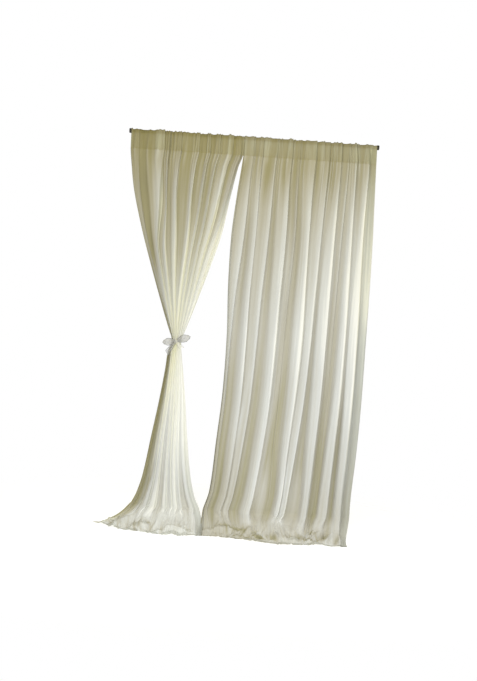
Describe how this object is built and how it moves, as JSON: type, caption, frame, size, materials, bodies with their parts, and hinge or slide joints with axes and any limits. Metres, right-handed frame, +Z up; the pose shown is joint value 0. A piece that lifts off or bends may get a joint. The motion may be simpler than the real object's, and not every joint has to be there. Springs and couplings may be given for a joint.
{
  "type": "backdrop curtains on a rod",
  "caption": "Sheer ivory backdrop curtains gathered on a slim dark rod, one panel drawn in by a ribbon bow, the other hanging straight, both trailing on the floor.",
  "frame": {"origin": "middle of the rod's axis, which is 2.0 m above the floor that the hems lie on", "axes": "+X along the rod to the right as seen from the front, -Y towards the viewer, +Z up"},
  "size_m": [1.3011, 0.3361, 2.0126],
  "materials": {
    "chiffon": "sheer ivory chiffon, soft folds",
    "organza": "thin translucent ribbon",
    "rod_metal": "dark satin paint",
    "cap": "matt, nearly black"
  },
  "bodies": {
    "root": {"rod": "rod_metal", "rod_cap_left": "cap", "rod_cap_right": "cap", "curtain_left": "chiffon", "curtain_right": "chiffon", "tie_ribbon": "organza"}
  },
  "joints": []
}
